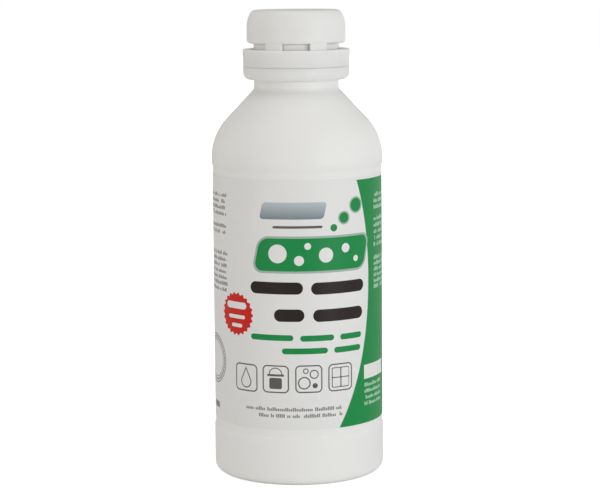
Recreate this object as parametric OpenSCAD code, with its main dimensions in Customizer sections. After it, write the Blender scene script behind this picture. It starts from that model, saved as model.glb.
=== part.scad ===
// Round blow-moulded bottle with a child-resistant screw cap, a tamper band and a wrap-round label.
// Millimetres, +Z up. The origin is the centre of the standing ring, on the surface it stands on.
// The front is -Y. The cap's squeeze pads face +X and -X.

/* [Bottle body] */
// Outside diameter of the body
body_d = 56; // [50:0.5:62]
// Height of the straight side, from the foot to the start of the shoulder
side_h = 104; // [90:0.1:130]
// Thickness of the blown wall
wall = 0.9; // [0.7:0.05:1.3]
// Radius of the round between the side and the shoulder
shoulder_r = 18.5; // [10:0.5:19]
// Slope of the shoulder below the horizontal, in degrees
shoulder_slope = 46.7; // [38:0.1:60]
// Radius of the round heel
heel_r = 3; // [2:0.1:5]
// Width of the flat ring that the bottle stands on
foot_w = 2.5; // [1.5:0.1:5]
// Rise of the pushed-up base at its centre
push_up = 3; // [1:0.1:6]

/* [Label panel] */
// Height of the panel's lower step above the foot
panel_z = 15.5; // [8:0.1:30]
// Height from the panel's upper step to the start of the shoulder
panel_drop = 1.9; // [1:0.1:10]
// Depth of the panel below the body's surface
panel_depth = 0.35; // [0.3:0.05:0.6]
// Height of each sloping step at the panel's ends
step_h = 0.6; // [0.3:0.1:1.5]
// Bare strip between the lower step and the label
label_low = 3.1; // [1:0.1:6]
// Bare strip between the label and the upper step
label_high = 3.1; // [1:0.1:6]
// Thickness of the label film
label_t = 0.12; // [0.08:0.01:0.13]
// Thickness of the glue under the label
glue_t = 0.02; // [0.01:0.01:0.04]
// Width of the strip at the back where the label's end laps over its start
label_lap = 8; // [4:0.5:15]

/* [Neck] */
// Outside diameter of the plain neck
neck_d = 27.7; // [27.3:0.1:28.2]
// Length of the plain neck, from where the shoulder's slope meets it to the foot of the thread
neck_l = 14.6; // [13.8:0.1:18]
// Radius of the hollow round where the shoulder meets the neck
neck_fillet = 2.5; // [1:0.1:4]
// Thickness of the threaded neck between the thread's root and the bore
finish_wall = 1.65; // [1.2:0.05:2]
// Height over which the bore opens out into the bottle
flare_h = 3; // [2:0.1:5]
// Height of the threaded part of the neck, up to the lip
finish_h = 8.4; // [7.8:0.1:9.5]
// How far the retaining bead stands out from the neck
bead_out = 1.3; // [0.8:0.05:1.6]
// Height of the bead's upright edge
bead_edge = 0.7; // [0.4:0.1:1.2]
// Height of the ramp above the bead's edge
bead_ramp = 1.2; // [0.6:0.1:1.6]
// How far the stops stand out from the neck
stop_out = 1.1; // [0.6:0.05:1.1]
// Height of the stops
stop_h = 4; // [2.5:0.1:4.5]
// Width of each stop, in degrees round the neck
stop_angle = 14; // [8:1:20]

/* [Thread space] */
// How far the crest of the neck's thread lies inside the plain neck's surface
thread_inset = 0.25; // [0.1:0.05:0.6]
// Depth of the thread, which the neck's upper wall is set in by
thread_depth = 1.2; // [0.8:0.05:1.3]
// Clearance from the crest of the neck's thread to the cap, measured along the radius
thread_clear = 0.25; // [0.2:0.01:0.4]

/* [Cap] */
// Thickness of the cap's wall behind its thread
cap_wall = 2.2; // [2:0.05:3]
// Thickness of the cap's top
cap_top_t = 1.5; // [1:0.1:2.5]
// Width of the cap's round upper edge, measured along the radius
cap_edge_w = 2.8; // [1:0.1:3.5]
// Height of the cap's round upper edge
cap_edge_h = 5.8; // [1:0.1:6.5]
// Radius of the cap's round lower edge
cap_foot_r = 1.2; // [0.3:0.1:1.6]
// Gap from the top of the plain neck up to the cap's lower edge
cap_foot_gap = 0.15; // [0.1:0.05:0.6]
// Height of the windows between the cap and its squeeze ring
window_h = 1.9; // [1:0.1:3]
// Width of each leg that carries the squeeze ring, in degrees
leg_angle = 22; // [12:1:40]
// Angle from the front or the back to the middle of a leg
leg_place = 28; // [25:1:45]
// Thickness of the legs
leg_t = 1; // [0.6:0.05:1]
// How far the legs lie inside the cap's wall
leg_inset = 0.3; // [0.1:0.05:0.5]

/* [Squeeze ring] */
// How far the squeeze ring stands out past the cap's wall
ring_out = 1.3; // [0.8:0.05:2]
// Height of the squeeze ring
ring_h = 5.6; // [5.4:0.1:6.2]
// Thickness of the squeeze ring
ring_t = 1.1; // [0.8:0.05:1.3]
// Thickness of the flange at the top of the squeeze ring
flange_t = 1; // [0.6:0.1:1.2]
// Radius of the ring's upper edge
ring_edge_r = 0.35; // [0.2:0.05:0.5]
// Clearance between the ring's catches and the neck's stops
catch_clear = 0.25; // [0.2:0.05:0.4]
// Width of each catch, in degrees
catch_angle = 12; // [8:1:16]

/* [Tamper band] */
// Height of the band
band_h = 4.1; // [4:0.1:5]
// Thickness of the band
band_t = 1.1; // [0.8:0.05:1.3]
// Radius of the band's lower edge, where it turns in to the neck
band_foot_r = 2.3; // [1:0.1:2.6]
// Height of the slit between the squeeze ring and the band
slit_h = 0.2; // [0.15:0.05:0.4]
// Gap from the neck to the band's hooked edge
hook_gap = 0.6; // [0.4:0.05:0.7]
// Thickness of the hooked edge
hook_t = 1; // [0.6:0.1:1.2]
// Height of the hooked edge above the band's foot
hook_z = 0.5; // [0.2:0.1:0.8]
// Clearance between the hooked edge and the bead above it
hook_clear = 0.4; // [0.3:0.05:0.6]
// Number of breakable bridges in the slit
bridge_n = 8; // [4:1:16]
// Width of each bridge
bridge_w = 0.8; // [0.4:0.1:1.2]
// How far each bridge lies inside the band's inner and outer surfaces
bridge_inset = 0.2; // [0.1:0.05:0.3]

/* [Cap wad] */
// Thickness of the foam wad
wad_t = 1; // [0.8:0.1:1.5]
// Clearance round the wad
wad_clear = 0.35; // [0.2:0.05:0.6]

/* [Hidden] */
$fn = 96;
front = -90;
back = 90;
arc_steps = 12;

body_r = body_d / 2;
neck_r = neck_d / 2;
thread_r = neck_r - thread_inset;
thread_root_r = thread_r - thread_depth;
bore_r = thread_root_r - finish_wall;
slope_normal = 90 - shoulder_slope;
dome_chord = body_r - heel_r - foot_w;
dome_r = (pow(dome_chord, 2) + pow(push_up, 2)) / (2 * push_up);
panel_top = side_h - panel_drop;

// Where the shoulder's round ends and its straight slope starts
slope_x = body_r - shoulder_r + shoulder_r * cos(slope_normal);
slope_z = side_h + shoulder_r * sin(slope_normal);
// Where that slope, drawn on, meets the neck
corner_z = slope_z + (slope_x - neck_r) / tan(slope_normal);
fillet_z = corner_z + neck_fillet * tan(slope_normal / 2);

// Heights of the neck and of what sits on it
collar_z = corner_z + neck_l;
lip_z = collar_z + finish_h;
ceiling_z = lip_z + wad_t;
cap_top_z = ceiling_z + cap_top_t;
cap_foot_z = collar_z + cap_foot_gap;
ring_top_z = cap_foot_z - window_h;
ring_foot_z = ring_top_z - ring_h;
band_top_z = ring_foot_z - slit_h;
band_foot_z = band_top_z - band_h;
bead_z = band_foot_z + hook_z + hook_t + hook_clear;
stop_z = bead_z + bead_edge + bead_ramp;

// Radii of the neck's bead and stops, the cap and its ring
bead_r = neck_r + bead_out;
stop_r = neck_r + stop_out;
cap_in_r = thread_r + thread_clear;
cap_r = cap_in_r + cap_wall;
leg_r = cap_r - leg_inset;
ring_r = cap_r + ring_out;
ring_in_r = ring_r - ring_t;
flange_r = leg_r - leg_t;
catch_r = stop_r + catch_clear;
hook_r = neck_r + hook_gap;

lip_round = 0.4;
collar_chamfer = 0.15;
// A solid that joins another reaches this far into it
sink = 0.4;

// Points of an arc about [x, z], from one angle to another
function arc(x, z, r, from, to) = oval(x, z, r, r, from, to);

// The same for an arc that is w across and h high
function oval(x, z, w, h, from, to) =
    [for (i = [0 : arc_steps]) let (a = from + (to - from) * i / arc_steps) [x + w * cos(a), z + h * sin(a)]];

function reversed(points) = [for (i = [len(points) - 1 : -1 : 0]) points[i]];

// The blown skin, set in from the outside by d: base dome, heel, side with its panel, shoulder and neck round
function skin(d) = concat(
    arc(0, push_up - dome_r, dome_r + d, 90, 90 - acos((dome_r - push_up + d) / (dome_r + d))),
    arc(body_r - heel_r, heel_r, heel_r - d, -90, 0),
    [
        [body_r - d, panel_z],
        [body_r - panel_depth - d, panel_z + step_h],
        [body_r - panel_depth - d, panel_top - step_h],
        [body_r - d, panel_top],
    ],
    arc(body_r - shoulder_r, side_h, shoulder_r - d, 0, slope_normal),
    arc(neck_r + neck_fillet, fillet_z, neck_fillet + d, 180 + slope_normal, 180)
);

// The outside of the neck above the shoulder: retaining bead, plain collar, wall for the thread and lip
neck_outside = concat(
    [
        [neck_r, bead_z],
        [bead_r, bead_z],
        [bead_r, bead_z + bead_edge],
        [neck_r, bead_z + bead_edge + bead_ramp],
        [neck_r, collar_z - collar_chamfer],
        [neck_r - collar_chamfer, collar_z],
        [thread_root_r, collar_z],
    ],
    arc(thread_root_r - lip_round, lip_z - lip_round, lip_round, 0, 90),
    [[bore_r, lip_z], [bore_r, fillet_z + flare_h]]
);

// One stop on the neck: steep on the side that meets the cap's catch, and a ramp behind it
module stop(a) {
    translate([0, 0, stop_z])
        linear_extrude(stop_h)
            polygon([
                (neck_r - sink) * [cos(a), sin(a)],
                stop_r * [cos(a), sin(a)],
                (neck_r - sink) * [cos(a + stop_angle), sin(a + stop_angle)],
            ]);
}

module bottle() {
    color("whitesmoke") {
        rotate_extrude()
            polygon(concat(skin(0), neck_outside, reversed(skin(wall))));
        stop(front + catch_angle);
        stop(back + catch_angle);
    }
}

// The film goes once round the panel, and its end laps over its start at the back
module label() {
    film_r = body_r - panel_depth + glue_t;
    film_z = panel_z + label_low;
    film_h = panel_top - label_high - film_z;
    lap = label_lap / film_r * 180 / PI;
    color("mediumseagreen") {
        translate([0, 0, film_z])
            rotate_extrude()
                translate([film_r, 0])
                    square([label_t, film_h]);
        translate([0, 0, film_z])
            rotate_extrude(angle = lap, start = back - lap / 2)
                translate([film_r + label_t / 2, 0])
                    square([label_t, film_h]);
    }
}

// The band hangs under the squeeze ring by its bridges, hooked below the bead
module tamper_band() {
    hook_low = band_foot_z + hook_z;
    color("white") {
        rotate_extrude()
            polygon(concat(
                [[ring_in_r, hook_low + hook_t], [hook_r, hook_low + hook_t], [hook_r, hook_low]],
                arc(ring_r - band_foot_r, band_foot_z + band_foot_r, band_foot_r, -90, 0),
                [[ring_r, band_top_z], [ring_r - band_t, band_top_z], [ring_r - band_t, hook_low + hook_t]]
            ));
        for (i = [0 : bridge_n - 1])
            rotate([0, 0, front + leg_place + 360 * i / bridge_n])
                translate([ring_r - band_t + bridge_inset, -bridge_w / 2, band_top_z - sink])
                    cube([band_t - 2 * bridge_inset, bridge_w, slit_h + sink]);
    }
}

// A disc of foam in the top of the cap, pressed on the lip of the neck
module cap_wad() {
    color("gainsboro")
        translate([0, 0, lip_z])
            cylinder(r = cap_in_r - wad_clear, h = wad_t);
}

// A leg joins the cap's wall to the squeeze ring below the windows
module leg(a) {
    translate([0, 0, ring_top_z - sink])
        rotate_extrude(angle = leg_angle, start = a - leg_angle / 2)
            translate([leg_r - leg_t, 0])
                square([leg_t, sink + window_h + cap_foot_r]);
}

// A catch inside the squeeze ring stands over against a stop on the neck
module catch(a) {
    low = ring_foot_z + ring_edge_r;
    translate([0, 0, low])
        rotate_extrude(angle = catch_angle, start = a - catch_angle / 2)
            translate([catch_r, 0])
                square([ring_in_r - catch_r + sink, ring_top_z - flange_t / 2 - low]);
}

module cap() {
    color("white") {
        rotate_extrude()
            polygon(concat(
                [[0, cap_top_z]],
                reversed(oval(cap_r - cap_edge_w, cap_top_z - cap_edge_h, cap_edge_w, cap_edge_h, 0, 90)),
                reversed(arc(cap_r - cap_foot_r, cap_foot_z + cap_foot_r, cap_foot_r, -90, 0)),
                [[cap_in_r, cap_foot_z], [cap_in_r, ceiling_z], [0, ceiling_z]]
            ));
        for (side = [front, back], turn = [-leg_place, leg_place])
            leg(side + turn);
        rotate_extrude()
            polygon(concat(
                [[flange_r, ring_top_z]],
                reversed(arc(ring_r - ring_edge_r, ring_top_z - ring_edge_r, ring_edge_r, 0, 90)),
                [
                    [ring_r, ring_foot_z],
                    [ring_in_r, ring_foot_z],
                    [ring_in_r, ring_top_z - flange_t],
                    [flange_r, ring_top_z - flange_t],
                ]
            ));
        catch(front);
        catch(back);
    }
}

bottle();
label();
tamper_band();
cap_wad();
cap();
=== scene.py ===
import math
import bmesh
import bpy
from mathutils import Matrix, Vector


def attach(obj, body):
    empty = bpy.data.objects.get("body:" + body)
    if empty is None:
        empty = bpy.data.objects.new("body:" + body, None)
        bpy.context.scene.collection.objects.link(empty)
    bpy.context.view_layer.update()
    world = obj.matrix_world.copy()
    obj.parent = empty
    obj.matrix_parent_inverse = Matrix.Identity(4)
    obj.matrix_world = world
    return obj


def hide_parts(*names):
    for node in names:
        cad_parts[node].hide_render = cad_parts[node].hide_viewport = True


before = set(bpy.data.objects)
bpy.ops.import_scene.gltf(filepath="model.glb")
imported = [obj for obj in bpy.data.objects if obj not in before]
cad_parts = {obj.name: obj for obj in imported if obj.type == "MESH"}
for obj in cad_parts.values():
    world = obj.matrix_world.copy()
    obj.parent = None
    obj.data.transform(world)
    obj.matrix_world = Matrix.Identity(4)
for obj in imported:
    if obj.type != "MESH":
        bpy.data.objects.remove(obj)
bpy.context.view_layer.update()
scene = bpy.context.scene
mm = 0.001

# Camera. The bottle stands alone on a pale table. It is seen from the front, a little from above,
# through a long lens that is turned by less than half a degree.
camera_distance = 680 * mm
camera_pitch = math.radians(8.0)
camera_roll = math.radians(-0.45)
camera_aim = Vector((0.75 * mm, 0, 73 * mm))

camera = bpy.data.objects.new("camera", bpy.data.cameras.new("camera"))
camera.data.lens = 123.6
camera.data.sensor_width = 36
away = Vector((0, -math.cos(camera_pitch), math.sin(camera_pitch)))
camera.rotation_mode = "QUATERNION"
camera.location = camera_aim + away * camera_distance
turn = (-away).to_track_quat("-Z", "Y").to_matrix() @ Matrix.Rotation(camera_roll, 3, "Z")
camera.rotation_quaternion = turn.to_quaternion()
scene.collection.objects.link(camera)
scene.camera = camera
scene.view_settings.view_transform = "Standard"


# Light and table. Soft studio light: a large softbox stands in front at the right, a weaker one at the
# left and one hangs above. White cards stand at both sides and behind, and one of them only draws
# the pale rim on the right.
def link(tree, value, socket):
    """Puts a number, a colour or another node's output on a socket."""
    if isinstance(value, bpy.types.NodeSocket):
        tree.links.new(value, socket)
    else:
        socket.default_value = value


def add(tree, kind, *values, out=0, **settings):
    """Adds a node, sets it up, fills its inputs in order (None skips one) and returns one output."""
    made = tree.nodes.new(kind)
    for name, value in settings.items():
        setattr(made, name, value)
    for socket, value in zip(made.inputs, values):
        if value is not None:
            link(tree, value, socket)
    return made.outputs[out]


def calc(tree, operation, *values, clamp=False):
    return add(tree, "ShaderNodeMath", *values, operation=operation, use_clamp=clamp)


def noise(tree, place, scale, detail, rough=0.5):
    return add(tree, "ShaderNodeTexNoise", place, None, scale, detail, rough)


def softbox(name, place, aim, width, height, watts, colour, gloss=True, diffuse=True):
    """A rectangular lamp. It can be kept out of reflections, or seen only in them."""
    lamp = bpy.data.lights.new(name, "AREA")
    lamp.shape = "RECTANGLE"
    lamp.size, lamp.size_y = width, height
    lamp.energy = watts
    lamp.color = colour
    made = bpy.data.objects.new(name, lamp)
    made.location = place
    made.rotation_mode = "QUATERNION"
    made.rotation_quaternion = (Vector(aim) - Vector(place)).to_track_quat("-Z", "Y")
    made.visible_glossy, made.visible_diffuse = gloss, diffuse
    scene.collection.objects.link(made)


softbox("key_light", (0.7, -0.7, 0.2), (0, 0, 0.08), 0.5, 0.4, 2.78, (0.95, 0.985, 1.0))
softbox("fill_light", (-0.5, -0.86, 0.22), (0, 0, 0.08), 0.5, 0.5, 1.22, (1.0, 0.955, 0.89))
softbox("top_light", (-0.04, -0.12, 0.9), (0, 0, 0.1), 0.6, 0.6, 1.5, (1, 1, 1))
softbox("left_card", (-0.8, 0.15, 0.25), (0, 0, 0.08), 0.6, 0.6, 0.76, (1.0, 0.955, 0.89))
softbox("right_card", (0.8, 0.15, 0.25), (0, 0, 0.08), 0.6, 0.6, 0.68, (1, 1, 1))
softbox("back_card", (0.0, 0.95, 0.1), (0, 0, 0.08), 0.5, 0.2, 1.4, (1.0, 0.985, 0.96), gloss=False)
softbox("rim_card", (0.55, 0.75, 0.12), (0, 0, 0.08), 0.4, 0.5, 0.6, (1, 1, 1), diffuse=False)

world = bpy.data.worlds.new("studio")
scene.world = world
world.use_nodes = True
tree = world.node_tree
tree.nodes.clear()
path = tree.nodes.new("ShaderNodeLightPath")
card = add(tree, "ShaderNodeBackground", (1.0, 0.975, 0.94, 1), 0.39)
white = add(tree, "ShaderNodeBackground", (1, 1, 1, 1), 1.0)
mixed = add(tree, "ShaderNodeMixShader", path.outputs["Is Camera Ray"], card, white)
link(tree, mixed, tree.nodes.new("ShaderNodeOutputWorld").inputs["Surface"])

# The table's paper glows for the camera only, and more so away from the bottle, until it is white.
glow_near, glow_more, glow_from, glow_slope = 0.62, 0.5, 0.1, 1.5
table_mesh = bpy.data.meshes.new("table")
half = 3.0
corners = [(-half, -half, 0), (half, -half, 0), (half, half, 0), (-half, half, 0)]
table_mesh.from_pydata(corners, [], [(0, 1, 2, 3)])
table = bpy.data.objects.new("table", table_mesh)
scene.collection.objects.link(table)
paper = bpy.data.materials.new("white_paper")
paper.use_nodes = True
tree = paper.node_tree
tree.nodes.clear()
path = tree.nodes.new("ShaderNodeLightPath")
place = tree.nodes.new("ShaderNodeTexCoord").outputs["Object"]
tooth = noise(tree, place, 900.0, 2.0)
bump = tree.nodes.new("ShaderNodeBump")
bump.inputs["Strength"].default_value = 0.05
bump.inputs["Distance"].default_value = 0.0001
link(tree, tooth, bump.inputs["Height"])
sheet = tree.nodes.new("ShaderNodeBsdfPrincipled")
sheet.inputs["Base Color"].default_value = (0.92, 0.92, 0.92, 1)
sheet.inputs["Roughness"].default_value = 0.9
link(tree, bump.outputs["Normal"], sheet.inputs["Normal"])
far = add(tree, "ShaderNodeVectorMath", place, operation="LENGTH", out=1)
far = calc(tree, "MULTIPLY", calc(tree, "SUBTRACT", far, glow_from), glow_slope, clamp=True)
lift = calc(tree, "ADD", glow_near, calc(tree, "MULTIPLY", far, glow_more))
lift = calc(tree, "MULTIPLY", path.outputs["Is Camera Ray"], lift)
glow = add(tree, "ShaderNodeEmission", (1, 1, 1, 1), lift)
both = add(tree, "ShaderNodeAddShader", sheet.outputs[0], glow)
link(tree, both, tree.nodes.new("ShaderNodeOutputMaterial").inputs["Surface"])
table.data.materials.append(paper)

# Bottle. It is blown from a tube of white polyethylene in a two-part mould, with a panel turned in for
# the label, a pushed-up base, and a neck with the thread, the band's bead and two stops for the cap.
# Where the mould's halves met, a fine line runs up both sides and a weld crosses the base.
body_r = 28.0
side_h = 104.0
wall = 0.9
shoulder_r = 18.5
slope_normal = 43.3
heel_r = 3.0
foot_w = 2.5
push_up = 3.0
panel_z = 15.5
panel_top = side_h - 1.9
panel_depth = 0.35
panel_round = 0.25
step_h = 0.6
line_angle = 8.0
line_w = 0.22
line_h = 0.07
# The neck with its thread and lip. An added block is sunk into the wall that carries it.
neck_r = 13.85
fillet_r = 2.5
neck_l = 14.6
finish_h = 8.4
thread_depth = 1.2
thread_pitch = 3.2
thread_inset = 0.25
thread_over = 0.2
thread_lead = 1.25
thread_turns = 1.5
crest_w = 0.8
root_w = 2.1
bore_inset = 1.65
bore_foot = 3.0
lip_round = 0.4
bore_round = 0.3
collar_round = 0.08
sunk = 0.4
# The bead, and the two stops that stand on it, placed by angle.
bead_out = 1.3
bead_flat = 0.7
bead_h = 1.9
stop_out = 1.1
stop_top = 5.9
stop_angle = 12
stop_w = 14
# The bead's height comes from the closure: from the cap's foot down past window, ring, slit and band.
cap_lift = 0.15
window_h = 1.9
ring_h = 5.6
slit_h = 0.04
band_h = 4.26
hook_rise = 0.5
hook_t = 1.0
bead_gap = 0.4
chord = body_r - heel_r - foot_w
dome_r = (chord ** 2 + push_up ** 2) / (2 * push_up)
thread_r = neck_r - thread_inset
root_r = thread_r - thread_depth
bore_r = root_r - bore_inset
slope_x = body_r - shoulder_r + shoulder_r * math.cos(math.radians(slope_normal))
slope_z = side_h + shoulder_r * math.sin(math.radians(slope_normal))
corner_z = slope_z + (slope_x - neck_r) / math.tan(math.radians(slope_normal))
fillet_z = corner_z + fillet_r * math.tan(math.radians(slope_normal / 2))
collar_z = corner_z + neck_l
lip_z = collar_z + finish_h
cap_foot_z = collar_z + cap_lift
ring_top_z = cap_foot_z - window_h
ring_foot_z = ring_top_z - ring_h
band_top_z = ring_foot_z - slit_h
band_foot_z = band_top_z - band_h
bead_z = band_foot_z + hook_rise + hook_t + bead_gap


def arc(x, z, w, h, start, end, steps=14):
    """Points of an arc that is w across and h high about (x, z), from one angle to another."""
    angles = [math.radians(start + (end - start) * i / steps) for i in range(steps + 1)]
    return [(x + w * math.cos(a), z + h * math.sin(a)) for a in angles]


def turned(name, outline, steps=192, lines=(), raised=None):
    """A closed outline of (radius, height) in millimetres, turned once round the upright axis.

    At the angles in lines the raised outline stands for the first one, so that a fine line runs there.
    """
    turns = [(2 * math.pi * i / steps, outline) for i in range(steps)]
    for line in lines:
        crest = ((-line_w / 4, raised), (line_w / 4, raised))
        for offset, shape in ((-line_w, outline), *crest, (line_w, outline)):
            turns.append((math.radians(line) + offset / body_r, shape))
    turns.sort(key=lambda turn: turn[0])
    made = bmesh.new()
    rings = []
    for a, shape in turns:
        x, y = math.cos(a), math.sin(a)
        rings.append([made.verts.new((r * mm * x, r * mm * y, z * mm)) for r, z in shape])
    for i, ring in enumerate(rings):
        following = rings[(i + 1) % len(rings)]
        for j in range(len(outline)):
            k = (j + 1) % len(outline)
            if outline[j][0] + outline[k][0] > 1e-6:
                made.faces.new((ring[j], following[j], following[k], ring[k]))
    bmesh.ops.remove_doubles(made, verts=made.verts, dist=1e-7)
    bmesh.ops.dissolve_degenerate(made, dist=1e-7, edges=made.edges)
    bmesh.ops.recalc_face_normals(made, faces=made.faces)
    return finished(name, made)


def finished(name, made, crease=32):
    """Turns the mesh data into an object with smooth faces and crisp edges."""
    mesh = bpy.data.meshes.new(name)
    made.to_mesh(mesh)
    made.free()
    mesh.shade_smooth()
    mesh.set_sharp_from_angle(angle=math.radians(crease))
    piece = bpy.data.objects.new(name, mesh)
    scene.collection.objects.link(piece)
    return piece


def joined(name, pieces):
    """Several closed objects made one solid, with no faces left inside."""
    whole = pieces[0]
    for piece in pieces[1:]:
        union = whole.modifiers.new("union", "BOOLEAN")
        union.operation, union.solver, union.object = "UNION", "EXACT", piece
        mesh = bpy.data.meshes.new_from_object(whole.evaluated_get(bpy.context.evaluated_depsgraph_get()))
        whole.modifiers.clear()
        whole.data = mesh
        bpy.data.objects.remove(piece)
    made = bmesh.new()
    made.from_mesh(whole.data)
    bpy.data.objects.remove(whole)
    for flat in made.faces:
        flat.material_index = 0
    bmesh.ops.dissolve_degenerate(made, dist=1e-7, edges=made.edges)
    return finished(name, made)


def skin(d):
    """The blown skin, set in by d: base, heel, side with its panel, shoulder and the round to the neck."""
    reach = 90 - math.degrees(math.acos((dome_r - push_up + d) / (dome_r + d)))
    panel_r = body_r - panel_depth - d
    return (
        arc(0, push_up - dome_r, dome_r + d, dome_r + d, 90, reach, 16)
        + arc(body_r - heel_r, heel_r, heel_r - d, heel_r - d, -90, 0)
        + [(body_r - d, panel_z - panel_round)]
        + arc(body_r - d - panel_round, panel_z - 0.1, panel_round, panel_round, 0, 30, 3)
        + [(panel_r, panel_z + step_h), (panel_r, panel_z + step_h + 0.3)]
        + [(panel_r, side_h * i / 8) for i in range(2, 8)]
        + [(panel_r, panel_top - step_h - 0.3), (panel_r, panel_top - step_h)]
        + [(body_r - d, panel_top)]
        + arc(body_r - shoulder_r, side_h, shoulder_r - d, shoulder_r - d, 0, slope_normal, 20)
        + arc(neck_r + fillet_r, fillet_z, fillet_r + d, fillet_r + d, 180 + slope_normal, 180)
    )


neck_outside = (
    [(neck_r, bead_z), (neck_r + bead_out, bead_z), (neck_r + bead_out, bead_z + bead_flat)]
    + [(neck_r, bead_z + bead_h), (neck_r, collar_z)]
    + [(neck_r - collar_round, collar_z + collar_round), (root_r, collar_z + collar_round)]
    + arc(root_r - lip_round, lip_z - lip_round, lip_round, lip_round, 0, 90, 6)
    + [(bore_r + bore_round, lip_z), (bore_r, lip_z - bore_round), (bore_r, fillet_z + bore_foot)]
)
inside = list(reversed(skin(wall)))
parting = [(max(r, 0), max(z, 0)) for r, z in skin(-line_h)]
bottle_shell = turned(
    "bottle_shell", skin(0) + neck_outside + inside, 192,
    (line_angle, line_angle + 180), parting + neck_outside + inside,
)


def thread_tree():
    """A tree that sweeps a trapezoid along a helix, with its ends running out."""
    tree = bpy.data.node_groups.new("screw_thread", "GeometryNodeTree")
    face = tree.interface
    for label, kind in (
        ("Radius", "NodeSocketFloat"), ("Foot", "NodeSocketFloat"), ("Start Angle", "NodeSocketFloat"),
        ("Pitch", "NodeSocketFloat"), ("Turns", "NodeSocketFloat"), ("Depth", "NodeSocketFloat"),
        ("Crest", "NodeSocketFloat"), ("Root", "NodeSocketFloat"), ("Side", "NodeSocketFloat"),
        ("Material", "NodeSocketMaterial"),
    ):
        face.new_socket(label, in_out="INPUT", socket_type=kind)
    face.new_socket("Geometry", in_out="OUTPUT", socket_type="NodeSocketGeometry")
    given = tree.nodes.new("NodeGroupInput").outputs
    helix = tree.nodes.new("GeometryNodeCurveSpiral")
    helix.inputs["Resolution"].default_value = 72
    link(tree, given["Turns"], helix.inputs["Rotations"])
    link(tree, given["Radius"], helix.inputs["Start Radius"])
    link(tree, given["Radius"], helix.inputs["End Radius"])
    link(tree, calc(tree, "MULTIPLY", given["Turns"], given["Pitch"]), helix.inputs["Height"])
    helix.inputs["Reverse"].default_value = True
    placed = tree.nodes.new("GeometryNodeTransform")
    link(tree, helix.outputs[0], placed.inputs["Geometry"])
    spot = tree.nodes.new("ShaderNodeCombineXYZ")
    link(tree, given["Foot"], spot.inputs["Z"])
    link(tree, spot.outputs[0], placed.inputs["Translation"])
    spin = tree.nodes.new("ShaderNodeCombineXYZ")
    link(tree, given["Start Angle"], spin.inputs["Z"])
    link(tree, spin.outputs[0], placed.inputs["Rotation"])
    upright = tree.nodes.new("GeometryNodeSetCurveNormal")
    upright.mode = "Z_UP"
    link(tree, placed.outputs[0], upright.inputs["Curve"])
    along = tree.nodes.new("GeometryNodeSplineParameter").outputs["Factor"]
    back = calc(tree, "SUBTRACT", 1.0, along)
    near = calc(tree, "MINIMUM", along, back)
    grow = calc(tree, "MULTIPLY", calc(tree, "MULTIPLY", near, given["Turns"]), 12.0, clamp=True)
    size = tree.nodes.new("GeometryNodeSetCurveRadius")
    link(tree, upright.outputs[0], size.inputs["Curve"])
    link(tree, calc(tree, "MAXIMUM", grow, 0.02), size.inputs["Radius"])
    shape = tree.nodes.new("GeometryNodeCurvePrimitiveQuadrilateral")
    shape.mode = "TRAPEZOID"
    link(tree, given["Root"], shape.inputs["Bottom Width"])
    link(tree, given["Crest"], shape.inputs["Top Width"])
    link(tree, given["Depth"], shape.inputs["Height"])
    shape.inputs["Offset"].default_value = 0
    laid = tree.nodes.new("GeometryNodeTransform")
    link(tree, shape.outputs[0], laid.inputs["Geometry"])
    swing = tree.nodes.new("ShaderNodeCombineXYZ")
    link(tree, calc(tree, "MULTIPLY", given["Side"], -math.pi / 2), swing.inputs["Z"])
    link(tree, swing.outputs[0], laid.inputs["Rotation"])
    swept = tree.nodes.new("GeometryNodeCurveToMesh")
    link(tree, size.outputs[0], swept.inputs["Curve"])
    link(tree, laid.outputs[0], swept.inputs["Profile Curve"])
    swept.inputs["Fill Caps"].default_value = True
    real = tree.nodes.new("GeometryNodeRealizeInstances")
    link(tree, swept.outputs[0], real.inputs[0])
    coat = tree.nodes.new("GeometryNodeSetMaterial")
    link(tree, real.outputs[0], coat.inputs["Geometry"])
    link(tree, given["Material"], coat.inputs["Material"])
    link(tree, coat.outputs[0], tree.nodes.new("NodeGroupOutput").inputs[0])
    return tree


def grown(name, tree, **values):
    """Runs a geometry tree once with these inputs and keeps the result as a plain mesh."""
    holder = bpy.data.objects.new(name, bpy.data.meshes.new(name))
    scene.collection.objects.link(holder)
    modifier = holder.modifiers.new(name, "NODES")
    modifier.node_group = tree
    sockets = {s.name: s.identifier for s in tree.interface.items_tree if s.in_out == "INPUT"}
    for label, value in values.items():
        modifier[sockets[label.replace("_", " ")]] = value
    ready = holder.evaluated_get(bpy.context.evaluated_depsgraph_get())
    mesh = bpy.data.meshes.new_from_object(ready)
    holder.modifiers.clear()
    holder.data = mesh
    return holder


def slab(name, outline, foot, top, bevel=0.12):
    """A block over a flat outline of (x, y) in millimetres, between two heights, with eased edges."""
    made = bmesh.new()
    low = [made.verts.new((x * mm, y * mm, foot * mm)) for x, y in outline]
    high = [made.verts.new((x * mm, y * mm, top * mm)) for x, y in outline]
    made.faces.new(list(reversed(low)))
    made.faces.new(high)
    for i in range(len(outline)):
        k = (i + 1) % len(outline)
        made.faces.new((low[i], low[k], high[k], high[i]))
    bmesh.ops.recalc_face_normals(made, faces=made.faces)
    sharp = [e for e in made.edges if len(e.link_faces) == 2 and e.calc_face_angle() > math.radians(25)]
    bmesh.ops.bevel(
        made, geom=sharp, offset=bevel * mm, segments=3, profile=0.5, affect="EDGES", clamp_overlap=True,
    )
    return finished(name, made)


def polar(r, a):
    """The point at radius r and angle a in degrees, counted anticlockwise from the bottle's right."""
    return r * math.cos(math.radians(a)), r * math.sin(math.radians(a))


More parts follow.
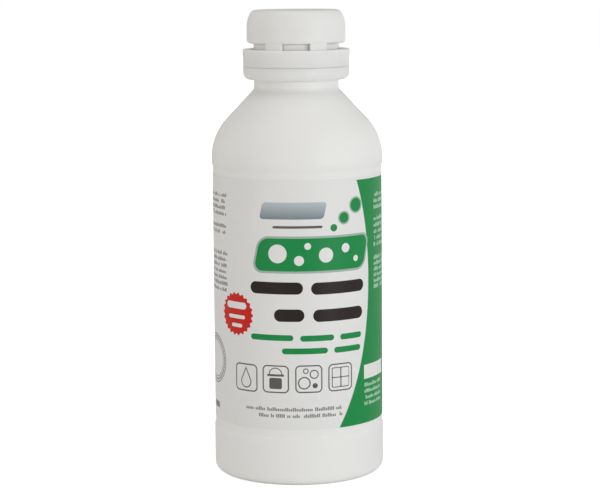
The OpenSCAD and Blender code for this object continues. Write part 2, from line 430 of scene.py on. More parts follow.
def blended(tree, share, low, high):
    """A colour between two colours."""
    made = add(tree, "ShaderNodeMix", out=2, data_type="RGBA")
    link(tree, share, made.node.inputs[0])
    link(tree, low, made.node.inputs[6])
    link(tree, high, made.node.inputs[7])
    return made


def plastic_skin():
    """The shared look of the plastics: a cloudy tone, fine grain, long soft waves and small scuffs."""
    tree = bpy.data.node_groups.new("plastic_skin", "ShaderNodeTree")
    face = tree.interface
    for label, kind in (
        ("Place", "NodeSocketVector"), ("Tone", "NodeSocketColor"), ("Shade", "NodeSocketColor"),
        ("Gloss", "NodeSocketFloat"), ("Grain", "NodeSocketFloat"), ("Wave", "NodeSocketFloat"),
        ("Scuffs", "NodeSocketFloat"),
    ):
        face.new_socket(label, in_out="INPUT", socket_type=kind)
    face.new_socket("Colour", in_out="OUTPUT", socket_type="NodeSocketColor")
    face.new_socket("Roughness", in_out="OUTPUT", socket_type="NodeSocketFloat")
    face.new_socket("Height", in_out="OUTPUT", socket_type="NodeSocketFloat")
    given = tree.nodes.new("NodeGroupInput").outputs
    result = tree.nodes.new("NodeGroupOutput")
    cloud = noise(tree, given["Place"], 38.0, 3.0, 0.6)
    grain = noise(tree, given["Place"], 2600.0, 2.0, 0.6)
    wave = noise(tree, given["Place"], 55.0, 1.0, 0.4)
    spread = add(tree, "ShaderNodeVectorMath", given["Place"], (2.2, 2.2, 0.35), operation="MULTIPLY")
    streak = noise(tree, spread, 420.0, 4.0, 0.7)
    scuff = calc(tree, "MULTIPLY", calc(tree, "SUBTRACT", streak, 0.62), 9.0, clamp=True)
    scuff = calc(tree, "MULTIPLY", scuff, given["Scuffs"])
    share = calc(tree, "MULTIPLY", calc(tree, "SUBTRACT", cloud, 0.3), 2.2, clamp=True)
    toned = blended(tree, share, given["Shade"], given["Tone"])
    rough = calc(tree, "ADD", given["Gloss"], calc(tree, "MULTIPLY", cloud, 0.1))
    rough = calc(tree, "ADD", rough, calc(tree, "MULTIPLY", scuff, 0.3))
    fine = calc(tree, "MULTIPLY", grain, given["Grain"])
    height = calc(tree, "ADD", fine, calc(tree, "MULTIPLY", wave, given["Wave"]))
    height = calc(tree, "SUBTRACT", height, calc(tree, "MULTIPLY", scuff, given["Grain"]))
    link(tree, toned, result.inputs["Colour"])
    link(tree, rough, result.inputs["Roughness"])
    link(tree, height, result.inputs["Height"])
    return tree


def shaded(name, **constants):
    """A material with one Principled shader, whose constant values are set on its own sockets."""
    made = bpy.data.materials.new(name)
    made.use_nodes = True
    made.node_tree.nodes.clear()
    shader = made.node_tree.nodes.new("ShaderNodeBsdfPrincipled")
    for label, value in constants.items():
        shader.inputs[label.replace("_", " ")].default_value = value
    out = made.node_tree.nodes.new("ShaderNodeOutputMaterial")
    made.node_tree.links.new(shader.outputs[0], out.inputs["Surface"])
    return made, made.node_tree, shader


def bumped(tree, shader, height, depth):
    """Feeds a height to the shader as a bump of that depth in millimetres."""
    bump = tree.nodes.new("ShaderNodeBump")
    bump.inputs["Strength"].default_value = 1.0
    bump.inputs["Distance"].default_value = depth * mm
    link(tree, height, bump.inputs["Height"])
    link(tree, bump.outputs["Normal"], shader.inputs["Normal"])


def plastic(name, tone, shade, gloss, grain, wave, scuffs, **constants):
    """A plastic that wears the shared skin with its own values."""
    made, tree, shader = shaded(name, **constants)
    wear = tree.nodes.new("ShaderNodeGroup")
    wear.node_tree = skin_group
    link(tree, tree.nodes.new("ShaderNodeTexCoord").outputs["Object"], wear.inputs["Place"])
    for label, value in (
        ("Tone", tone), ("Shade", shade), ("Gloss", gloss),
        ("Grain", grain), ("Wave", wave), ("Scuffs", scuffs),
    ):
        wear.inputs[label].default_value = value
    link(tree, wear.outputs["Colour"], shader.inputs["Base Color"])
    link(tree, wear.outputs["Roughness"], shader.inputs["Roughness"])
    bumped(tree, shader, wear.outputs["Height"], 0.05)
    return made


skin_group = plastic_skin()
bottle_plastic = plastic(
    "blown_polyethylene", (0.905, 0.905, 0.896, 1), (0.885, 0.885, 0.872, 1), 0.40, 0.10, 1.4, 0.5,
    IOR=1.5, Specular_IOR_Level=0.32,
    Subsurface_Weight=0.2, Subsurface_Scale=0.0012, Subsurface_Radius=(1.0, 0.96, 0.9),
)
thread = thread_tree()
neck_thread = grown(
    "neck_thread", thread, Radius=(root_r + thread_depth / 2 - thread_over / 2) * mm,
    Foot=(collar_z + thread_lead) * mm, Start_Angle=0.0, Pitch=thread_pitch * mm, Turns=thread_turns,
    Depth=(thread_depth + thread_over) * mm, Crest=crest_w * mm, Root=root_w * mm, Side=1.0,
    Material=bottle_plastic,
)


def weld_bead(length, width, height):
    """The weld where the mould pinched the tube shut, along the parting line under the pushed-up base."""
    made = bmesh.new()
    rows = []
    steps = 48
    section = ((-0.5, -0.3), (-0.42, 0.35), (-0.2, 0.9), (0.2, 1.0), (0.42, 0.35), (0.5, -0.3))
    for i in range(steps + 1):
        x = length * (i / steps - 0.5)
        ends = math.sqrt(max(0.0, 1 - (2 * i / steps - 1) ** 6))
        row = []
        for side, drop in section:
            y = side * width * (0.4 + 0.6 * ends)
            roof = push_up - dome_r + math.sqrt(dome_r ** 2 - x ** 2 - y ** 2)
            wobble = 1 + 0.12 * math.sin(x * 1.7) + 0.08 * math.sin(x * 4.3 + side)
            z = roof - drop * height * (0.2 + 0.8 * ends) * wobble
            row.append(made.verts.new((x * mm, y * mm, z * mm)))
        rows.append(row)
    for low, high in zip(rows, rows[1:]):
        for j in range(len(section)):
            k = (j + 1) % len(section)
            made.faces.new((low[j], low[k], high[k], high[j]))
    made.faces.new(list(reversed(rows[0])))
    made.faces.new(rows[-1])
    along_line = Matrix.Rotation(math.radians(line_angle), 3, "Z")
    bmesh.ops.rotate(made, verts=made.verts, cent=(0, 0, 0), matrix=along_line)
    bmesh.ops.recalc_face_normals(made, faces=made.faces)
    return finished("weld_bead", made, 60)


added = [neck_thread, weld_bead(length=34.0, width=1.3, height=0.45)]
for a in (-90 + stop_angle, 90 + stop_angle):
    wedge = [polar(neck_r - sunk, a), polar(neck_r + stop_out, a), polar(neck_r - sunk, a + stop_w)]
    added.append(slab("stop", wedge, bead_z + bead_h, bead_z + stop_top))
bottle = joined("blown_bottle", [bottle_shell] + added)
bottle.data.materials.append(bottle_plastic)
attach(bottle, "bottle")
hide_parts("bottle")

# Label. One strip of printed white film is glued round the panel and laps over itself at the back.
# The print is plain: a green field, a banner with bubbles, a red seal, bars in place of words, and
# four small pictures in frames.
label_foot = 18.6
label_top = 99.0
glue_t = 0.02
film_r = body_r - panel_depth + glue_t
film_t = 0.12
lap = 8.0
lap_gap = 0.005
print_w = 190.0
print_h = label_top - label_foot
print_r = film_r + film_t


def wrapped_film():
    """The film as a closed strip: u runs with the arc from the front, v with the height.

    Near its end the film climbs over its start, a little before the two meet.
    """
    half = math.pi + lap / film_r / 2
    climb_start, climb_arc = 2.3, 0.03
    steps, rows = 264, 6
    made = bmesh.new()
    coords = made.loops.layers.uv.new("wrap")
    inner, outer = [], []
    for i in range(steps + 1):
        a = -half + 2 * half * i / steps
        over = min(1, max(0, (a - half + climb_start * (half - math.pi)) / climb_arc))
        r = film_r + over * (film_t + lap_gap)
        for side, depth in ((inner, 0), (outer, film_t)):
            side.append([
                made.verts.new((
                    (r + depth) * mm * math.sin(a), -(r + depth) * mm * math.cos(a),
                    (label_foot + print_h * j / rows) * mm,
                )) for j in range(rows + 1)
            ])

    def face(corners, marks):
        flat = made.faces.new(corners)
        for loop, (i, j) in zip(flat.loops, marks):
            a = -half + 2 * half * i / steps
            loop[coords].uv = (a * print_r / print_w + 0.5, j / rows)

    for i in range(steps):
        for j in range(rows):
            marks = [(i, j), (i + 1, j), (i + 1, j + 1), (i, j + 1)]
            face([outer[a][b] for a, b in marks], marks)
            face([inner[a][b] for a, b in reversed(marks)], list(reversed(marks)))
        for j in (0, rows):
            marks = [(i, j), (i + 1, j), (i + 1, j), (i, j)]
            face((inner[i][j], inner[i + 1][j], outer[i + 1][j], outer[i][j]), marks)
    for i in (0, steps):
        for j in range(rows):
            marks = [(i, j), (i, j + 1), (i, j + 1), (i, j)]
            face((inner[i][j], inner[i][j + 1], outer[i][j + 1], outer[i][j]), marks)
    bmesh.ops.recalc_face_normals(made, faces=made.faces)
    return finished("label_film", made)


def masks(name, sizes, outputs=("Mask",)):
    """Starts a node group that puts out masks. Across and Up are the place on the film in millimetres."""
    tree = bpy.data.node_groups.new(name, "ShaderNodeTree")
    for label in ("Across", "Up") + sizes:
        tree.interface.new_socket(label, in_out="INPUT", socket_type="NodeSocketFloat")
    for label in outputs:
        tree.interface.new_socket(label, in_out="OUTPUT", socket_type="NodeSocketFloat")
    return tree, tree.nodes.new("NodeGroupInput").outputs, tree.nodes.new("NodeGroupOutput").inputs


def edge(tree, distance, soft=0.05):
    """1 inside an outline and 0 outside it, from the signed distance in millimetres."""
    return calc(tree, "ADD", calc(tree, "MULTIPLY", distance, -1 / soft), 0.5, clamp=True)


def length(tree, x, y):
    return calc(tree, "SQRT", calc(tree, "ADD", calc(tree, "MULTIPLY", x, x), calc(tree, "MULTIPLY", y, y)))


def bar_group():
    """A bar with round corners, which may lean to the right, and a frame of one line on its outline."""
    tree, given, result = masks(
        "print_bar", ("Middle", "Height", "Half Width", "Half Height", "Corner", "Lean", "Line"),
        ("Bar", "Frame"),
    )
    up = calc(tree, "SUBTRACT", given["Up"], given["Height"])
    across = calc(tree, "SUBTRACT", given["Across"], given["Middle"])
    across = calc(tree, "SUBTRACT", across, calc(tree, "MULTIPLY", up, given["Lean"]))
    x = calc(tree, "SUBTRACT", calc(tree, "ABSOLUTE", across), given["Half Width"])
    x = calc(tree, "ADD", x, given["Corner"])
    y = calc(tree, "SUBTRACT", calc(tree, "ABSOLUTE", up), given["Half Height"])
    y = calc(tree, "ADD", y, given["Corner"])
    out = length(tree, calc(tree, "MAXIMUM", x, 0.0), calc(tree, "MAXIMUM", y, 0.0))
    inside = calc(tree, "MINIMUM", calc(tree, "MAXIMUM", x, y), 0.0)
    gap = calc(tree, "SUBTRACT", calc(tree, "ADD", out, inside), given["Corner"])
    link(tree, edge(tree, gap), result["Bar"])
    off_line = calc(tree, "SUBTRACT", calc(tree, "ABSOLUTE", gap), given["Line"])
    link(tree, edge(tree, off_line), result["Frame"])
    return tree


def disc_group():
    """A disc with any number of teeth, and a ring of one line on its outline."""
    tree, given, result = masks(
        "print_disc", ("Middle", "Height", "Radius", "Line", "Teeth", "Tooth"), ("Disc", "Ring"),
    )
    across = calc(tree, "SUBTRACT", given["Across"], given["Middle"])
    up = calc(tree, "SUBTRACT", given["Up"], given["Height"])
    swing = calc(tree, "MULTIPLY", calc(tree, "ARCTAN2", up, across), given["Teeth"])
    tooth = calc(tree, "MULTIPLY", calc(tree, "COSINE", swing), given["Tooth"])
    rim = calc(tree, "ADD", given["Radius"], tooth)
    gap = calc(tree, "SUBTRACT", length(tree, across, up), rim)
    link(tree, edge(tree, gap), result["Disc"])
    off_line = calc(tree, "SUBTRACT", calc(tree, "ABSOLUTE", gap), given["Line"])
    link(tree, edge(tree, off_line), result["Ring"])
    return tree


def lines_group():
    """A paragraph of broken bars in place of small words, with a slightly ragged right side.

    A row is cut into cells. A cell holds a tall stroke, a low one or, at times, none.
    """
    row_key, cell_key = 7.31, 1.37
    low_share, tall_share, low_chance, gap_chance = 0.66, 0.34, 0.62, 0.13
    stroke_share, full_share, ragged_share = 0.74, 0.97, 0.03
    tree, given, result = masks(
        "print_lines", ("Left", "Top", "Width", "Rows", "Pitch", "Tall", "Cell", "Seed"),
    )
    across = calc(tree, "SUBTRACT", given["Across"], given["Left"])
    down = calc(tree, "DIVIDE", calc(tree, "SUBTRACT", given["Top"], given["Up"]), given["Pitch"])
    row = calc(tree, "FLOOR", down)
    in_row = calc(tree, "MULTIPLY", calc(tree, "SUBTRACT", down, row), given["Pitch"])
    step = calc(tree, "DIVIDE", across, given["Cell"])
    cell = calc(tree, "FLOOR", step)
    in_cell = calc(tree, "MULTIPLY", calc(tree, "SUBTRACT", step, cell), given["Cell"])
    key = calc(tree, "ADD", calc(tree, "MULTIPLY", row, row_key), given["Seed"])
    own_key = calc(tree, "ADD", key, calc(tree, "MULTIPLY", cell, cell_key))
    chance = add(tree, "ShaderNodeTexWhiteNoise", None, own_key, noise_dimensions="1D")
    ragged = add(tree, "ShaderNodeTexWhiteNoise", None, key, noise_dimensions="1D")
    tall = calc(tree, "MULTIPLY", calc(tree, "GREATER_THAN", chance, low_chance), tall_share)
    high = calc(tree, "ADD", low_share, tall)
    start = calc(tree, "MULTIPLY", given["Tall"], calc(tree, "SUBTRACT", 1.0, high))
    under_top = edge(tree, calc(tree, "SUBTRACT", start, in_row))
    over_foot = edge(tree, calc(tree, "SUBTRACT", in_row, given["Tall"]))
    mask = calc(tree, "MULTIPLY", under_top, over_foot)
    stroke = calc(tree, "MULTIPLY", given["Cell"], stroke_share)
    mask = calc(tree, "MULTIPLY", mask, edge(tree, calc(tree, "SUBTRACT", in_cell, stroke)))
    mask = calc(tree, "MULTIPLY", mask, calc(tree, "GREATER_THAN", chance, gap_chance))
    share = calc(tree, "ADD", full_share, calc(tree, "MULTIPLY", ragged, ragged_share))
    end = calc(tree, "MULTIPLY", given["Width"], share)
    for test in (
        calc(tree, "GREATER_THAN", across, 0.0), calc(tree, "LESS_THAN", across, end),
        calc(tree, "GREATER_THAN", down, 0.0), calc(tree, "LESS_THAN", down, given["Rows"]),
    ):
        mask = calc(tree, "MULTIPLY", mask, test)
    link(tree, mask, result["Mask"])
    return tree


bar_shape, disc_shape, line_shape = bar_group(), disc_group(), lines_group()
label_film, tree, shader = shaded("printed_film", IOR=1.45, Specular_IOR_Level=0.3)
wrap = tree.nodes.new("ShaderNodeUVMap")
wrap.uv_map = "wrap"
centred = tree.nodes.new("ShaderNodeMapping")
centred.inputs["Location"].default_value = (-print_w / 2, label_foot, 0)
centred.inputs["Scale"].default_value = (print_w, print_h, 1)
link(tree, wrap.outputs[0], centred.inputs["Vector"])
spot = centred.outputs[0]
split = tree.nodes.new("ShaderNodeSeparateXYZ")
link(tree, spot, split.inputs[0])
across, up = split.outputs[0], split.outputs[1]


def stamp(group, *values, out=0):
    """One shape of the print. Places are in millimetres, across from the front and up from the table."""
    made = tree.nodes.new("ShaderNodeGroup")
    made.node_tree = group
    link(tree, across, made.inputs["Across"])
    link(tree, up, made.inputs["Up"])
    for socket, value in zip(list(made.inputs)[2:], values):
        socket.default_value = value
    return made.outputs[out]


def bar(left, right, foot, top, corner=None, lean=0.0, line=0.0):
    """A bar, or only its outline where a line width is given."""
    half = ((right - left) / 2, (top - foot) / 2)
    round_r = min(half) if corner is None else corner
    middle = ((left + right) / 2, (foot + top) / 2)
    return stamp(bar_shape, *middle, *half, round_r, lean, line, out=1 if line else 0)


def disc(x, z, r, teeth=0, tooth=0.0):
    return stamp(disc_shape, x, z, r, 0.1, teeth, tooth)


def hoop(x, z, r, line, teeth=0, tooth=0.0):
    return stamp(disc_shape, x, z, r, line, teeth, tooth, out=1)


def words(left, top, wide, rows, pitch, height, cell, seed):
    return stamp(line_shape, left, top, wide, rows, pitch, height, cell, seed)


def any_of(*layers):
    total = layers[0]
    for mask in layers[1:]:
        total = calc(tree, "MAXIMUM", total, mask)
    return total


def all_but(mask, *holes):
    return calc(tree, "MULTIPLY", mask, calc(tree, "SUBTRACT", 1.0, any_of(*holes)))


def inked(ground, colour, mask):
    """Prints a colour over what is there, through a mask."""
    return blended(tree, mask, ground, colour)


green = (0.005, 0.265, 0.062, 1)
pale_green = (0.42, 0.68, 0.49, 1)
halo = (0.39, 0.49, 0.435, 1)
red = (0.64, 0.015, 0.004, 1)
dark = (0.019, 0.012, 0.011, 1)
silver_low = (0.205, 0.255, 0.29, 1)
silver_high = (0.52, 0.575, 0.60, 1)
grey = (0.115, 0.11, 0.105, 1)
fine_grey = (0.24, 0.232, 0.225, 1)
film_white = (0.835, 0.84, 0.835, 1)

fleck = noise(tree, spot, 0.5, 3.0, 0.6)
ground = inked((0.845, 0.845, 0.841, 1), (0.816, 0.82, 0.82, 1), fleck)

# The green field: its left edge is part of a wide circle, and it runs on round the right side.
bow_x, bow_z, bow_r = -66.0, 66.0, 92.6
field_right, field_top = 52.0, 98.3
bow = length(tree, calc(tree, "SUBTRACT", across, bow_x), calc(tree, "SUBTRACT", up, bow_z))
field = edge(tree, calc(tree, "SUBTRACT", bow_r, bow))
field = calc(tree, "MULTIPLY", field, edge(tree, calc(tree, "SUBTRACT", across, field_right)))
field = calc(tree, "MULTIPLY", field, edge(tree, calc(tree, "SUBTRACT", up, field_top)))
ground = inked(ground, green, field)
pale_print = any_of(
    words(24.3, 31.8, 12.0, 4, 2.05, 1.25, 0.6, 3.0),
    words(30.2, 93.4, 17.0, 3, 2.02, 1.3, 0.62, 4.0),
    words(30.2, 85.6, 17.0, 5, 2.1, 1.3, 0.62, 5.0),
    words(30.2, 72.9, 17.0, 6, 1.9, 1.3, 0.62, 7.0),
    words(40.0, 56.0, 10.0, 9, 2.2, 1.3, 0.62, 6.0),
)
ground = inked(ground, pale_green, pale_print)
ground = inked(ground, film_white, bar(24.1, 38.0, 33.1, 37.75, 0.1))

# The banner with bubbles has a pale rim. Above it stand a silver bar and three bubbles.
bubbles = any_of(
    disc(-6.5, 75.6, 3.0), disc(0.4, 73.4, 1.6), disc(3.2, 78.0, 1.1),
    disc(9.2, 75.0, 2.4), disc(16.2, 76.9, 1.5), disc(20.3, 73.2, 1.0),
)
rim = all_but(bar(-14.3, 25.6, 69.3, 81.2, 3.6, 0.22), bubbles)
ground = inked(ground, halo, any_of(rim, disc(15.6, 86.6, 2.2), disc(20.4, 90.4, 2.7)))
banner = all_but(bar(-13.6, 24.9, 70.0, 80.5, 3.0, 0.22), bubbles)
rising = (disc(11.9, 83.6, 1.2), disc(15.6, 86.6, 1.7), disc(20.4, 90.4, 2.2))
ground = inked(ground, green, any_of(banner, *rising))
silver_foot, silver_h = 86.6, 5.4
rise = calc(tree, "DIVIDE", calc(tree, "SUBTRACT", up, silver_foot), silver_h, clamp=True)
silver = inked(silver_low, silver_high, rise)
ground = inked(ground, silver, bar(-12.0, 9.0, silver_foot, silver_foot + silver_h, 1.2, 0.22))
ground = inked(ground, grey, bar(-8.0, 8.0, 83.7, 84.5, 0.3))

# Bars in place of the words, dark and then green.
ground = inked(ground, dark, any_of(
    bar(-16.0, 1.6, 62.6, 66.5), bar(4.2, 23.8, 62.4, 66.3),
    bar(-7.8, 2.0, 53.8, 57.8), bar(4.8, 23.2, 53.6, 57.6),
))
ground = inked(ground, green, any_of(
    bar(-16.0, -1.6, 47.6, 49.5), bar(0.6, 11.8, 47.4, 49.3), bar(14.0, 22.6, 47.3, 49.2),
    bar(-5.3, 9.6, 43.3, 45.2), bar(11.8, 22.2, 43.2, 45.1),
))

# The red seal with a toothed rim, and three pale bars on it.
ground = inked(ground, red, disc(-22.2, 55.2, 6.7, 22, 0.32))
ground = inked(ground, film_white, any_of(
    bar(-26.8, -17.8, 56.9, 59.1), bar(-25.9, -18.4, 53.7, 54.9), bar(-24.4, -19.6, 50.9, 52.1),
))

# Four frames: a drop, a pail, bubbles and tiles.
frames = [
    bar(left, left + 8.4, foot, foot + 8.6, 1.4, 0.0, 0.21)
    for left, foot in ((-22.4, 30.6), (-11.7, 30.8), (-0.9, 30.9), (9.9, 30.9))
]


def drop(x, z, r):
    """A disc with a point above it, where two leaning bars cross."""
    foot, top, half = z + 0.435 * r, z + 2.3 * r, 0.45 * r
    lean = 2 * half / (top - foot)
    left = bar(x - half, x + 4 * r, foot, top, 0.0, lean)
    right = bar(x - 4 * r, x + half, foot, top, 0.0, -lean)
    return any_of(disc(x, z, r), calc(tree, "MULTIPLY", left, right))


outlined_drop = all_but(drop(-18.2, 33.6, 2.1), drop(-18.2, 33.6, 1.74))
pail = any_of(
    bar(-10.3, -4.7, 36.0, 36.7, 0.3), bar(-9.6, -5.4, 31.9, 35.5, 0.6),
    all_but(hoop(-7.5, 36.6, 2.1, 0.16), bar(-9.9, -5.1, 34.0, 36.4, 0.0)),
)
suds = any_of(
    hoop(1.8, 33.9, 1.85, 0.2), hoop(5.0, 36.7, 1.3, 0.18), disc(5.3, 33.0, 0.85),
    hoop(2.3, 37.8, 0.75, 0.16),
)
tile_steps = (0.0, 3.15)
tiles = all_but(
    bar(10.9, 17.3, 31.9, 38.5, 0.5),
    *[bar(11.2 + x, 13.95 + x, 32.2 + z, 35.05 + z, 0.3) for x in tile_steps for z in tile_steps],
)
ground = inked(ground, grey, any_of(*frames, outlined_drop, pail, suds, tiles))

# Small print: two lines below the frames, columns at the left side and round the back, and an empty seal.
ground = inked(ground, fine_grey, any_of(
    words(-18.2, 25.9, 33.2, 1, 2.2, 1.2, 0.6, 11.0), words(-14.0, 23.8, 29.6, 1, 2.2, 1.2, 0.6, 12.0),
    words(-66.0, 93.7, 39.5, 4, 2.02, 1.2, 0.62, 13.0), words(-66.0, 83.7, 39.5, 2, 2.02, 1.2, 0.62, 14.0),
    words(-66.0, 74.8, 39.5, 7, 1.98, 1.2, 0.62, 15.0), words(-66.0, 55.0, 20.0, 12, 2.5, 1.2, 0.6, 16.0),
    hoop(-36.3, 38.7, 8.0, 0.2), hoop(-36.3, 38.7, 6.2, 0.14), bar(-38.8, -33.6, 22.3, 24.3, 0.3),
    hoop(-36.3, 38.7, 7.1, 0.26, 44, 0.2),
    words(56.0, 94.0, 26.0, 11, 2.5, 1.2, 0.6, 17.0), words(56.0, 62.0, 26.0, 15, 2.5, 1.2, 0.6, 18.0),
))
link(tree, ground, shader.inputs["Base Color"])
rough = calc(tree, "ADD", 0.36, calc(tree, "MULTIPLY", fleck, 0.14))
link(tree, rough, shader.inputs["Roughness"])
creep = noise(tree, spot, 0.11, 2.0)
bumped(tree, shader, creep, 0.25)

film = wrapped_film()
film.data.materials.append(label_film)
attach(film, "bottle")
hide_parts("label")

# Tamper band. It is moulded with the cap and joined to its ring by thin bridges, which break at the
# first turn. Its hooked edge holds it under the neck's bead.
thread_gap = 0.25
cap_wall = 2.2
ring_step = 1.3
ring_r = thread_r + thread_gap + cap_wall + ring_step
band_t = 1.1
band_foot_r = 2.3
slit_round = 0.07
hook_gap = 0.6
hook_r = neck_r + hook_gap
hook_foot = band_foot_z + hook_rise
hook_top = hook_foot + hook_t
bridge_w = 0.8
bridge_h = 0.55
bridge_inset = 0.4
bridge_sunk = 0.05
bridge_angle = 28
bridge_n = 8

cap_plastic = plastic(
    "moulded_polypropylene", (0.872, 0.872, 0.864, 1), (0.852, 0.852, 0.842, 1), 0.40, 0.05, 0.5, 0.4,
    IOR=1.49, Specular_IOR_Level=0.3,
    Subsurface_Weight=0.5, Subsurface_Scale=0.002, Subsurface_Radius=(1.0, 0.96, 0.9),
)
band_shell = turned("band_shell", (
    [(ring_r - band_t, hook_top), (hook_r, hook_top), (hook_r, hook_foot)]
    + arc(ring_r - band_foot_r, band_foot_z + band_foot_r, band_foot_r, band_foot_r, -90, 0)
    + arc(ring_r - slit_round, band_top_z - slit_round, slit_round, slit_round, 0, 90, 3)
    + [(ring_r - band_t, band_top_z)]
))


def bridge_tree():
    """A tree that sets small blocks at even steps round a circle."""
    tree = bpy.data.node_groups.new("breakable_bridges", "GeometryNodeTree")
    for label, kind in (
        ("Count", "NodeSocketInt"), ("Radius", "NodeSocketFloat"), ("Height", "NodeSocketFloat"),
        ("First Angle", "NodeSocketFloat"), ("Depth", "NodeSocketFloat"), ("Width", "NodeSocketFloat"),
        ("Tall", "NodeSocketFloat"), ("Material", "NodeSocketMaterial"),
    ):
        tree.interface.new_socket(label, in_out="INPUT", socket_type=kind)
    tree.interface.new_socket("Geometry", in_out="OUTPUT", socket_type="NodeSocketGeometry")
    given = tree.nodes.new("NodeGroupInput").outputs
    circle = tree.nodes.new("GeometryNodeMeshCircle")
    link(tree, given["Count"], circle.inputs["Vertices"])
    link(tree, given["Radius"], circle.inputs["Radius"])
    size = add(tree, "ShaderNodeCombineXYZ", given["Depth"], given["Width"], given["Tall"])
    block = tree.nodes.new("GeometryNodeMeshCube")
    link(tree, size, block.inputs["Size"])
    turn = calc(tree, "DIVIDE", 2 * math.pi, given["Count"])
    angle = calc(tree, "MULTIPLY", tree.nodes.new("GeometryNodeInputIndex").outputs[0], turn)
    facing = add(tree, "ShaderNodeCombineXYZ", 0.0, 0.0, angle)
    placed = tree.nodes.new("GeometryNodeInstanceOnPoints")
    link(tree, circle.outputs[0], placed.inputs["Points"])
    link(tree, block.outputs[0], placed.inputs["Instance"])
    link(tree, facing, placed.inputs["Rotation"])
    moved = tree.nodes.new("GeometryNodeTransform")
    link(tree, placed.outputs[0], moved.inputs["Geometry"])
    link(tree, add(tree, "ShaderNodeCombineXYZ", 0.0, 0.0, given["Height"]), moved.inputs["Translation"])
    link(tree, add(tree, "ShaderNodeCombineXYZ", 0.0, 0.0, given["First Angle"]), moved.inputs["Rotation"])
    real = tree.nodes.new("GeometryNodeRealizeInstances")
    link(tree, moved.outputs[0], real.inputs[0])
    coat = tree.nodes.new("GeometryNodeSetMaterial")
    link(tree, real.outputs[0], coat.inputs["Geometry"])
    link(tree, given["Material"], coat.inputs["Material"])
    link(tree, coat.outputs[0], tree.nodes.new("NodeGroupOutput").inputs[0])
    return tree


bridges = grown(
    "bridges", bridge_tree(), Count=bridge_n, Radius=(ring_r - band_t / 2) * mm,
    Height=(band_top_z - bridge_sunk) * mm, First_Angle=math.radians(-90 + bridge_angle),
    Depth=(band_t - bridge_inset) * mm, Width=bridge_w * mm, Tall=bridge_h * mm, Material=cap_plastic,
)
band = joined("tamper_ring", [band_shell, bridges])
band.data.materials.append(cap_plastic)
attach(band, "bottle")
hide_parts("tamper_band")

# Wad. A disc punched from a sheet of white foam is pushed into the top of the cap, where the neck's
# lip presses it.
wad_inset = 0.35
wad_round = 0.1
wad_r = thread_r + thread_gap - wad_inset
wad_t = 1.0
wad = turned("foam_wad", (
    [(0, lip_z), (bore_r - 0.2, lip_z), (wad_r - wad_round, lip_z)]
    + arc(wad_r - wad_round, lip_z + wad_round, wad_round, wad_round, -90, 0, 3)
    + arc(wad_r - wad_round, lip_z + wad_t - wad_round, wad_round, wad_round, 0, 90, 3)
    + [(0, lip_z + wad_t)]
), 128)
foam, tree, shader = shaded("closed_foam", IOR=1.45, Specular_IOR_Level=0.25)
place = tree.nodes.new("ShaderNodeTexCoord").outputs["Object"]
cells = add(tree, "ShaderNodeTexVoronoi", place, None, 3200.0)
pores = noise(tree, place, 900.0, 3.0, 0.6)
foam_colour = inked((0.83, 0.83, 0.80, 1), (0.70, 0.70, 0.67, 1), calc(tree, "MULTIPLY", cells, pores))
link(tree, foam_colour, shader.inputs["Base Color"])
link(tree, calc(tree, "ADD", 0.7, calc(tree, "MULTIPLY", pores, 0.2)), shader.inputs["Roughness"])
bumped(tree, shader, cells, 0.12)
wad.data.materials.append(foam)
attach(wad, "wad")
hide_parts("cap_wad")

# Cap. It is one moulding: a threaded cup, four legs below it, and a springy ring with two catches
# inside. Squeezing the ring's sides bends the catches clear of the neck's stops. The small round dip
# on top is where the plastic came in.
top_t = 1.5
gate_r = 1.2
gate_depth = 0.15
mouth_ease = 0.2
ceiling_ease = 0.4
cap_in_r = thread_r + thread_gap
cap_r = cap_in_r + cap_wall
ceiling_z = lip_z + wad_t
cap_top_z = ceiling_z + top_t
edge_w, edge_h = 2.8, 5.8
foot_r = 1.2
leg_inset = 0.3
leg_r = cap_r - leg_inset
leg_t = 1.6
leg_in_r = leg_r - leg_t
leg_w = 22
leg_angle = 28
ring_t = 1.1
ring_round = 0.35
ring_lip = 1.0
ring_in_r = ring_r - ring_t
catch_gap = 0.25
catch_w = 12
catch_r = neck_r + stop_out + catch_gap

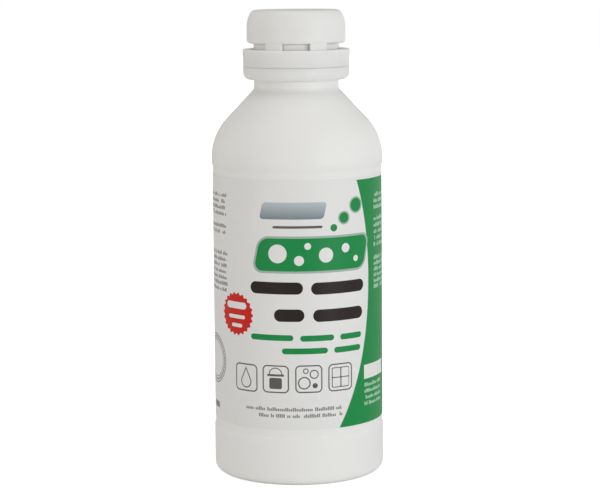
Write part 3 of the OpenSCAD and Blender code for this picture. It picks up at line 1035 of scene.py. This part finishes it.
cup = turned("cup", (
    [(0, cap_top_z - gate_depth), (gate_r, cap_top_z - gate_depth), (gate_r + 0.3, cap_top_z)]
    + arc(cap_r - edge_w, cap_top_z - edge_h, edge_w, edge_h, 90, 0, 24)
    + arc(cap_r - foot_r, cap_foot_z + foot_r, foot_r, foot_r, 0, -90)
    + [(cap_in_r + mouth_ease, cap_foot_z), (cap_in_r, cap_foot_z + mouth_ease)]
    + [(cap_in_r, ceiling_z - ceiling_ease), (cap_in_r - ceiling_ease, ceiling_z), (0, ceiling_z)]
))
squeeze = turned("squeeze_ring", (
    [(leg_in_r, ring_top_z), (ring_r - ring_round, ring_top_z)]
    + arc(ring_r - ring_round, ring_top_z - ring_round, ring_round, ring_round, 90, 0, 5)[1:]
    + arc(ring_r - slit_round, ring_foot_z + slit_round, slit_round, slit_round, 0, -90, 3)
    + [(ring_in_r, ring_foot_z), (ring_in_r, ring_top_z - ring_lip), (leg_in_r, ring_top_z - ring_lip)]
))


def curved_block(name, inner, outer, middle, angle, foot, top):
    """A block that follows the round wall: two radii, the angle of its middle and its width in degrees."""
    steps = 10
    turns = [middle - angle / 2 + angle * i / steps for i in range(steps + 1)]
    outline = [polar(outer, a) for a in turns] + [polar(inner, a) for a in reversed(turns)]
    return slab(name, outline, foot, top)


legs = [
    curved_block("leg", leg_in_r, leg_r, side + turn, leg_w, ring_top_z - sunk, cap_foot_z + foot_r)
    for side in (-90, 90) for turn in (-leg_angle, leg_angle)
]
catches = [
    curved_block("catch", catch_r, ring_in_r + sunk, side, catch_w, ring_foot_z + 0.35, ring_top_z - 0.5)
    for side in (-90, 90)
]
cap_start = math.radians(360 * (cap_lift + thread_pitch / 2) / thread_pitch)
cap_thread = grown(
    "cap_thread", thread, Radius=(cap_in_r - thread_depth / 2 + thread_over / 2) * mm,
    Foot=(cap_foot_z + thread_lead) * mm, Start_Angle=cap_start, Pitch=thread_pitch * mm,
    Turns=thread_turns, Depth=(thread_depth + thread_over) * mm, Crest=crest_w * mm,
    Root=root_w * mm, Side=-1.0, Material=cap_plastic,
)
cap = joined("screw_cap", [cup, squeeze, cap_thread] + legs + catches)
cap.data.materials.append(cap_plastic)
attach(cap, "cap")
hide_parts("cap")
